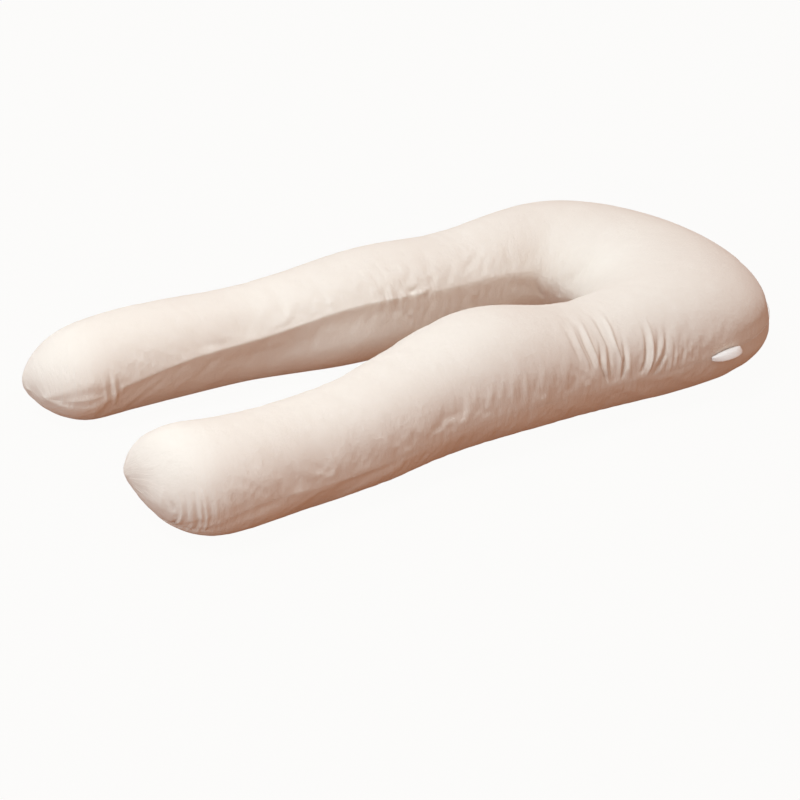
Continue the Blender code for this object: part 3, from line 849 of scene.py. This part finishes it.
class StageSettings(bpy.types.PropertyGroup):
    """The floor, lights and camera."""

    backdrop_colour: a_colour("Backdrop", "Colour of the floor and of what is beyond it", (0.97, 0.965, 0.955))
    bounce_colour: a_colour("Bounce", "Colour of the light that comes up from the floor", (0.335, 0.160, 0.095))
    key_power: a_number("Overhead light", "Power of the large soft light overhead", 312.0, unit="POWER")
    side_power: a_number("Leg-end light", "Power of the small light on the ends of the legs", 1.1, unit="POWER")
    light_colour: a_colour("Light colour", "Colour of both lights", (0.795, 0.912, 1.0))
    sky_colour: a_colour("Fill", "Colour of the fill light from above", (0.93, 0.96, 1.0))
    low_sky_colour: a_colour("Low fill", "Colour of the fill light from near the floor", (0.82, 0.42, 0.255))
    left_sky_colour: a_colour("Left fill", "The same beyond the ends of the legs", (1.20, 1.42, 1.60))
    sky_strength: a_number("Fill strength", "Strength of the fill light", 0.60, min=0.0)
    lens: a_number("Lens", "Focal length of the camera in millimetres", 71.4, min=20.0)


# --- Pieces ---

SEAM_START = 0.012  # the sewn line turns round the leg's end at this distance from it
SEAM_STEPS = 900
STITCH_SINK = 0.6  # the stitches lie in the groove, this share of its depth down
TURN_NUDGE = 0.01  # a small step round the section, in radians

LABEL_RUN = 1.054  # the label's place along the tube
LABEL_NUDGE = 0.01  # a small step along the tube
LABEL_STEPS = 36  # along the seam
LABEL_FOLD_STEPS = 20  # from one raw edge over the fold to the other
LABEL_LIFT = 0.0030  # its middle is sewn in this much higher than its ends
LABEL_SKEW = 0.8  # below 1, it is at its fullest nearer the near leg
LABEL_ROUNDING = 0.7  # below 1, its outline is fuller than a parabola
LABEL_END_DEPTH = 0.06  # depth and fullness left at its ends, as shares
LABEL_END_FULLNESS = 0.10
LABEL_PINCH = 0.30  # room left at its raw edges and at its fold, as a share
LABEL_FOLD_SHAPE = 0.7  # below 1, the fold is blunter than a circle, seen from the side
LABEL_PUFF_SHAPE = (1.4, 0.6)  # powers that set where it is puffed out the most, and how evenly
TAPE_PITCH = 0.0005  # distance between the threads of the tape


class PILLOW_OT_cover(bpy.types.Operator):
    """Make the filled cotton cover with its seam and folds"""

    bl_idname = "pillow.make_cover"
    bl_label = "Cover"
    bl_options = {"REGISTER", "UNDO"}

    def execute(self, context):
        cover = context.scene.pillow_cover
        tube = Tube()
        runs, smooth, points, gather = cover_grid(tube, cover)
        mesh, index = closed_grid_mesh("cover", points)
        amounts = np.zeros(len(mesh.vertices))
        amounts[index.reshape(-1)] = gather.reshape(-1)
        mesh.attributes.new("gather", "FLOAT", "POINT").data.foreach_set("value", amounts)
        upper, lower = arc_lengths(smooth, PANEL_COLUMNS)
        here, out, _ = tube.frame(runs)
        across = (upper[:, -1:] / 2 - upper, lower - lower[:, -1:] / 2)
        add_uv(mesh, "grain", *(here[:, None] + out[:, None] * side[..., None] for side in across))
        lengths = np.broadcast_to(runs[:, None], upper.shape)
        add_uv(mesh, "tube", *(np.stack([lengths, arc], -1) for arc in (upper, upper[:, -1:] + lower)))
        mesh.materials.append(cotton_material(cover))
        obj = link("cotton_cover", mesh)
        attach(obj, "root")
        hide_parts("pillow")
        return {"FINISHED"}


def seam_line(tube, cover):
    """Points all the way round in the groove between the panels: outer side, far end, inner side, near end."""
    lines = []
    for side, ahead in ((0, 1), (1, -1)):
        runs = np.linspace(SEAM_START, tube.length - SEAM_START, SEAM_STEPS)
        angle = tube.seam_angles(runs)[side][:, None]
        smooth = tube.surface(runs, angle + np.array([-TURN_NUDGE, 0.0, TURN_NUDGE]))
        normals = np.cross(np.gradient(smooth[:, 1], axis=0), smooth[:, 2] - smooth[:, 0])
        normals /= np.linalg.norm(normals, axis=1, keepdims=True)
        proud = (seam_edge(cover, side, runs) - STITCH_SINK * cover.groove_depth) * tube.end_shares(runs)[1]
        lines.append((smooth[:, 1] + normals * proud[:, None])[::ahead])
    return np.concatenate(lines)


def stitch_tree(material):
    """Geometry Nodes that lay a stitch across the seam line at every pitch."""
    tree = bpy.data.node_groups.new("seam_stitches", "GeometryNodeTree")
    interface = tree.interface
    interface.new_socket("Geometry", in_out="INPUT", socket_type="NodeSocketGeometry")
    for name in ("Pitch", "Length", "Thickness"):
        interface.new_socket(name, in_out="INPUT", socket_type="NodeSocketFloat").subtype = "DISTANCE"
    interface.new_socket("Geometry", in_out="OUTPUT", socket_type="NodeSocketGeometry")
    given = add_node(tree, "NodeGroupInput").outputs
    curve = add_node(tree, "GeometryNodeMeshToCurve", {"Mesh": given["Geometry"]})
    spaced = add_node(tree, "GeometryNodeResampleCurve", {"Curve": curve, "Length": given["Pitch"]}, mode="LENGTH")
    ball = add_node(tree, "GeometryNodeMeshUVSphere", {"Segments": 6, "Rings": 4, "Radius": 0.5})
    size = shader(tree, "CombineXYZ", {0: given["Thickness"], 1: given["Thickness"], 2: given["Length"]})
    stitch = add_node(tree, "GeometryNodeTransform", {"Geometry": ball, "Scale": size})
    tangent = add_node(tree, "GeometryNodeInputTangent")
    turned = add_node(tree, "FunctionNodeAlignRotationToVector", {"Vector": tangent}, axis="X", pivot_axis="Z")
    placing = {"Points": spaced, "Instance": stitch, "Rotation": turned}
    laid = add_node(tree, "GeometryNodeInstanceOnPoints", placing)
    real = add_node(tree, "GeometryNodeRealizeInstances", {0: laid})
    smooth = add_node(tree, "GeometryNodeSetShadeSmooth", {0: real})
    dressed = add_node(tree, "GeometryNodeSetMaterial", {0: smooth, "Material": material})
    add_node(tree, "NodeGroupOutput", {0: dressed})
    return tree


class PILLOW_OT_seam(bpy.types.Operator):
    """Sew the seam that joins the two panels"""

    bl_idname = "pillow.sew_seam"
    bl_label = "Seam"
    bl_options = {"REGISTER", "UNDO"}

    def execute(self, context):
        seam = context.scene.pillow_seam
        points = seam_line(Tube(), context.scene.pillow_cover)
        count = len(points)
        mesh = bpy.data.meshes.new("seam_line")
        mesh.from_pydata(points.tolist(), [(i, (i + 1) % count) for i in range(count)], [])
        line = link("seam_line", mesh)
        modifier = line.modifiers.new("stitches", "NODES")
        modifier.node_group = stitch_tree(thread_material(seam))
        sizes = {"Pitch": seam.stitch_pitch, "Length": seam.stitch_length, "Thickness": seam.thread_thickness}
        for item in modifier.node_group.interface.items_tree:
            if item.name in sizes:
                modifier[item.identifier] = sizes[item.name]
        made = bpy.data.meshes.new_from_object(line.evaluated_get(context.evaluated_depsgraph_get()))
        bpy.data.objects.remove(line)
        made.name = "seam_stitches"
        obj = link("seam_stitches", made)
        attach(obj, "root")
        return {"FINISHED"}


def outer_seam(tube, runs):
    """Points of the outer seam on the smooth tube."""
    return tube.surface(runs, tube.seam_angles(runs)[0][:, None])[:, 0]


def label_grid(label, cover):
    """The folded tape's points, a row for each step along the seam, and how far each lies along and over the tape."""
    tube = Tube()
    before, after = outer_seam(tube, LABEL_RUN + np.array([-LABEL_NUDGE, LABEL_NUDGE]))
    stretch = np.linalg.norm(after - before) / (2 * LABEL_NUDGE)
    share = np.linspace(0, 1, LABEL_STEPS + 1)
    runs = LABEL_RUN + (share - 0.5) * label.length / stretch
    out = np.pad(tube.frame(runs)[1], ((0, 0), (0, 1)))
    root = outer_seam(tube, runs) + out * (seam_edge(cover, 0, runs) - cover.groove_depth)[:, None]
    root[:, 2] += LABEL_LIFT * np.sin(np.pi * share)
    turn = np.linspace(0, np.pi, LABEL_FOLD_STEPS + 1)
    place, side = np.sin(turn) ** LABEL_FOLD_SHAPE, np.cos(turn)
    skew, evenness = LABEL_PUFF_SHAPE
    puffed = np.sin(np.pi * np.minimum(place, 0.999) ** skew) ** evenness
    swell = side * (LABEL_PINCH + (1 - LABEL_PINCH) * puffed)
    rounding = ((1 - np.abs(2 * share**LABEL_SKEW - 1) ** 2) ** LABEL_ROUNDING)[:, None]
    depth = label.depth * (LABEL_END_DEPTH + (1 - LABEL_END_DEPTH) * rounding)
    puff = label.fullness * (LABEL_END_FULLNESS + (1 - LABEL_END_FULLNESS) * rounding)
    points = root[:, None] + out[:, None] * (depth * place)[..., None]
    points[..., 2] += puff * swell - label.droop * place**2
    steps = np.hypot(np.diff(place) * label.depth, np.diff(side) * label.fullness)
    return points, share * label.length, running_total(steps)


class PILLOW_OT_label(bpy.types.Operator):
    """Fold the blank tape label into the outer seam"""

    bl_idname = "pillow.make_label"
    bl_label = "Label"
    bl_options = {"REGISTER", "UNDO"}

    def execute(self, context):
        label = context.scene.pillow_label
        points, lengths, overs = label_grid(label, context.scene.pillow_cover)
        around = len(overs)
        index = np.arange(len(lengths) * around).reshape(-1, around)
        here, ahead = index[:-1], index[1:]
        faces = np.stack([here[:, :-1], here[:, 1:], ahead[:, 1:], ahead[:, :-1]], -1).reshape(-1, 4)
        mesh = bpy.data.meshes.new("label")
        mesh.from_pydata(points.reshape(-1, 3).tolist(), [], faces.tolist())
        mesh.shade_smooth()
        layer = mesh.uv_layers.new(name="grain")
        for loop in mesh.loops:
            i, j = divmod(loop.vertex_index, around)
            layer.data[loop.index].uv = (lengths[i], overs[j])
        mesh.materials.append(tape_material(label))
        obj = link("tape_label", mesh)
        thick = obj.modifiers.new("thickness", "SOLIDIFY")
        thick.thickness = label.thickness
        thick.offset = 0
        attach(obj, "root")
        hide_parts("label")
        return {"FINISHED"}


# --- Stage ---

CAMERA_PLACE = Vector((-1.456, -2.306, 1.3765))
CAMERA_AIM = Vector((-0.0753, -0.0043, -0.0249))
SENSOR_WIDTH = 36
KEY_PLACE = Vector((-2.2, 0.95, 6.4))
KEY_SIZE = 2.6
SIDE_PLACE = Vector((-2.1, -1.4, 1.5))
SIDE_AIM = Vector((-0.75, -0.10, 0.10))
SIDE_SIZE = 1.0
SIDE_SPREAD = np.radians(50)
FLOOR_HALF_WIDTH = 12.0
FLOOR_SEEN = 0.99  # how bright the camera sees the backdrop's colour on the floor
FLOOR_SHADE = (0.012, 0.011, 0.010)  # the little light that the seen floor adds by reflection
# The light that the floor sends back up, as shares: what the lamps light, and its own, also between the legs.
FLOOR_LIT = 0.45
FLOOR_GLOW = 0.62
SKY_RISE = (0.38, 1.00)  # the low sky's colour gives way to the fill's over these heights of the direction
SKY_LEFT = (-0.35, -0.85)  # and becomes the left sky's over these parts of it along X


def show_camera(tree, others, seen, output):
    """Ends a tree with one shader for the camera's rays and another for all others."""
    ray = shader(tree, "LightPath").outputs["Is Camera Ray"]
    shader(tree, output, {0: shader(tree, "MixShader", {0: ray, 1: others, 2: seen})})


def glow_and_shade(tree, glow, strength, shade):
    """A shader that shines in one colour and reflects in another."""
    shine = shader(tree, "Emission", {0: (*glow, 1), 1: strength})
    matt = shader(tree, "BsdfDiffuse", {0: (*shade, 1)})
    return shader(tree, "AddShader", {0: shine, 1: matt})


class PILLOW_OT_stage(bpy.types.Operator):
    """Set the plain pale floor, the soft lights and the camera"""

    bl_idname = "pillow.set_stage"
    bl_label = "Stage"
    bl_options = {"REGISTER", "UNDO"}

    def execute(self, context):
        scene = context.scene
        stage = scene.pillow_stage
        self.set_floor(stage)
        self.set_world(scene, stage)
        for name, place, aim, size, spread, power in (
            ("overhead", KEY_PLACE, Vector(), KEY_SIZE, np.pi, stage.key_power),
            ("leg ends", SIDE_PLACE, SIDE_AIM, SIDE_SIZE, SIDE_SPREAD, stage.side_power),
        ):
            light = bpy.data.lights.new(name, "AREA")
            light.shape = "DISK"
            light.size = size
            light.energy = power
            light.color = stage.light_colour
            light.spread = spread
            lamp = self.aimed(scene, name, light, place, aim)
            lamp.visible_camera = False
        camera = bpy.data.cameras.new("camera")
        camera.sensor_width = SENSOR_WIDTH
        camera.lens = stage.lens
        scene.camera = self.aimed(scene, "camera", camera, CAMERA_PLACE, CAMERA_AIM)
        scene.view_settings.view_transform = "Standard"
        scene.view_settings.look = "None"
        return {"FINISHED"}

    def aimed(self, scene, name, data, place, aim):
        """A light or camera at its place, turned towards its aim."""
        obj = bpy.data.objects.new(name, data)
        obj.location = place
        obj.rotation_euler = (aim - place).to_track_quat("-Z", "Y").to_euler()
        scene.collection.objects.link(obj)
        return obj

    def set_floor(self, stage):
        half = FLOOR_HALF_WIDTH
        mesh = bpy.data.meshes.new("floor")
        corners = [(x, y, 0.0) for x, y in ((-half, -half), (half, -half), (half, half), (-half, half))]
        mesh.from_pydata(corners, [], [(0, 1, 2, 3)])
        floor = link("floor", mesh)
        material, tree = new_material("pale_floor")
        seen = glow_and_shade(tree, stage.backdrop_colour, FLOOR_SEEN, FLOOR_SHADE)
        bounce = glow_and_shade(tree, stage.bounce_colour, FLOOR_GLOW, scaled(stage.bounce_colour, FLOOR_LIT))
        show_camera(tree, bounce, seen, "OutputMaterial")
        mesh.materials.append(material)

    def set_world(self, scene, stage):
        world = bpy.data.worlds.new("studio")
        scene.world = world
        tree = empty_tree(world)
        direction = shader(tree, "TexCoord").outputs["Generated"]
        across, _, up = shader(tree, "SeparateXYZ", {0: direction}).outputs
        leftward = map_range(tree, across, *SKY_LEFT)
        low = mix_colours(tree, leftward, stage.low_sky_colour, stage.left_sky_colour)
        glow = mix_colours(tree, map_range(tree, up, *SKY_RISE), low, stage.sky_colour)
        fill = shader(tree, "Background", {0: glow, 1: stage.sky_strength})
        seen = shader(tree, "Background", {0: (*stage.backdrop_colour, 1), 1: 1.0})
        show_camera(tree, fill, seen, "OutputWorld")


class PILLOW_PT_panel(bpy.types.Panel):
    """Lists the pillow's pieces and their settings"""

    bl_idname = "PILLOW_PT_panel"
    bl_label = "Body Pillow"
    bl_space_type = "VIEW_3D"
    bl_region_type = "UI"
    bl_category = "Body Pillow"

    def draw(self, context):
        for operator, group in STEPS:
            box = self.layout.box()
            box.operator(operator.bl_idname)
            settings = getattr(context.scene, group)
            for name in settings.__annotations__:
                box.prop(settings, name)


STEPS = (
    (PILLOW_OT_cover, "pillow_cover"),
    (PILLOW_OT_seam, "pillow_seam"),
    (PILLOW_OT_label, "pillow_label"),
    (PILLOW_OT_stage, "pillow_stage"),
)
SETTINGS = {
    "pillow_cover": CoverSettings,
    "pillow_seam": SeamSettings,
    "pillow_label": LabelSettings,
    "pillow_stage": StageSettings,
}
CLASSES = (*SETTINGS.values(), *(operator for operator, _ in STEPS), PILLOW_PT_panel)


def register():
    for item in CLASSES:
        bpy.utils.register_class(item)
    for name, group in SETTINGS.items():
        setattr(bpy.types.Scene, name, bpy.props.PointerProperty(type=group))


def unregister():
    for name in SETTINGS:
        delattr(bpy.types.Scene, name)
    for item in reversed(CLASSES):
        bpy.utils.unregister_class(item)


def main():
    register()
    bpy.ops.pillow.make_cover()
    bpy.ops.pillow.sew_seam()
    bpy.ops.pillow.make_label()
    bpy.ops.pillow.set_stage()


if __name__ == "__main__":
    main()
